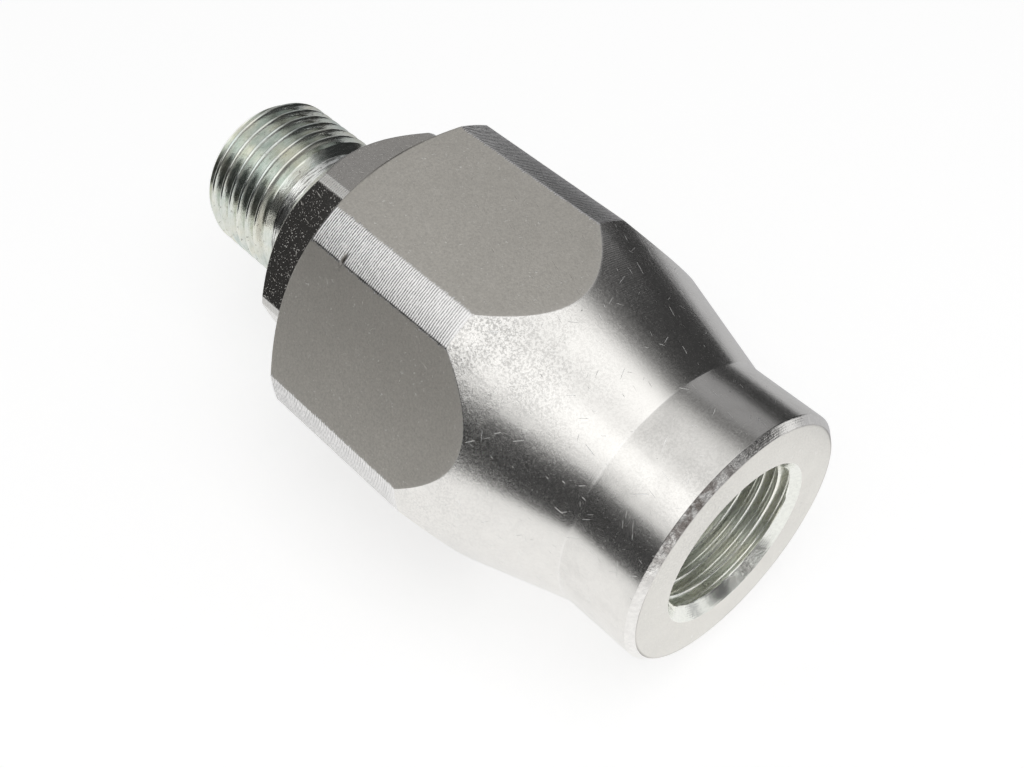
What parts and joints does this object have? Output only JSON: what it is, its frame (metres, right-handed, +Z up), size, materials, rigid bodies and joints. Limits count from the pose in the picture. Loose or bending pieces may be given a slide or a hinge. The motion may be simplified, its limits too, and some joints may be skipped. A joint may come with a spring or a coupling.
{
  "type": "hydraulic swivel joint",
  "caption": "In-line hydraulic swivel joint: a hexagonal body with a female pipe-threaded port turns freely on a male-threaded hexagonal stem.",
  "frame": {"origin": "on the ground under the middle of the joint's length, midway between its ends and its sides", "axes": "+X along the swivel axis towards the female port, +Z up from the flat of the body's hexagon that the joint lies on"},
  "size_m": [0.0834, 0.045, 0.041],
  "materials": {
    "body_steel": "zinc plated, drawn flats and turned taper",
    "stem_steel": "zinc plated, bright cut thread with a pale passivation tint",
    "plug_steel": "black oxide",
    "ball_steel": "polished",
    "seal_rubber": "matte",
    "guide_plastic": "matte",
    "backup_plastic": "waxy"
  },
  "bodies": {
    "housing": {"body": "body_steel", "wiper_seal": "seal_rubber", "guide_ring": "guide_plastic", "front_loading_plug": "plug_steel", "rear_loading_plug": "plug_steel"},
    "stem": {"stem": "stem_steel", "o_ring": "seal_rubber", "front_backup_ring": "backup_plastic", "rear_backup_ring": "backup_plastic"},
    "front_ball_row": {"front_ball_1": "ball_steel", "front_ball_2": "ball_steel", "front_ball_3": "ball_steel", "front_ball_4": "ball_steel", "front_ball_5": "ball_steel", "front_ball_6": "ball_steel", "front_ball_7": "ball_steel", "front_ball_8": "ball_steel", "front_ball_9": "ball_steel", "front_ball_10": "ball_steel", "front_ball_11": "ball_steel", "front_ball_12": "ball_steel", "front_ball_13": "ball_steel", "front_ball_14": "ball_steel"},
    "rear_ball_row": {"rear_ball_1": "ball_steel", "rear_ball_2": "ball_steel", "rear_ball_3": "ball_steel", "rear_ball_4": "ball_steel", "rear_ball_5": "ball_steel", "rear_ball_6": "ball_steel", "rear_ball_7": "ball_steel", "rear_ball_8": "ball_steel", "rear_ball_9": "ball_steel", "rear_ball_10": "ball_steel", "rear_ball_11": "ball_steel", "rear_ball_12": "ball_steel", "rear_ball_13": "ball_steel", "rear_ball_14": "ball_steel"}
  },
  "joints": [
    {"name": "stem_swivel", "type": "hinge", "parent": "housing", "child": "stem", "pos_m": [0, 0, 0.0205], "axis": [1, 0, 0], "continuous": true},
    {"name": "front_row_roll", "type": "hinge", "parent": "housing", "child": "front_ball_row", "pos_m": [0, 0, 0.0205], "axis": [1, 0, 0], "continuous": true},
    {"name": "rear_row_roll", "type": "hinge", "parent": "housing", "child": "rear_ball_row", "pos_m": [0, 0, 0.0205], "axis": [1, 0, 0], "continuous": true}
  ],
  "couplings": [
    {"joint": "front_row_roll", "follows": "stem_swivel", "ratio": 0.3962},
    {"joint": "rear_row_roll", "follows": "stem_swivel", "ratio": 0.3962}
  ]
}
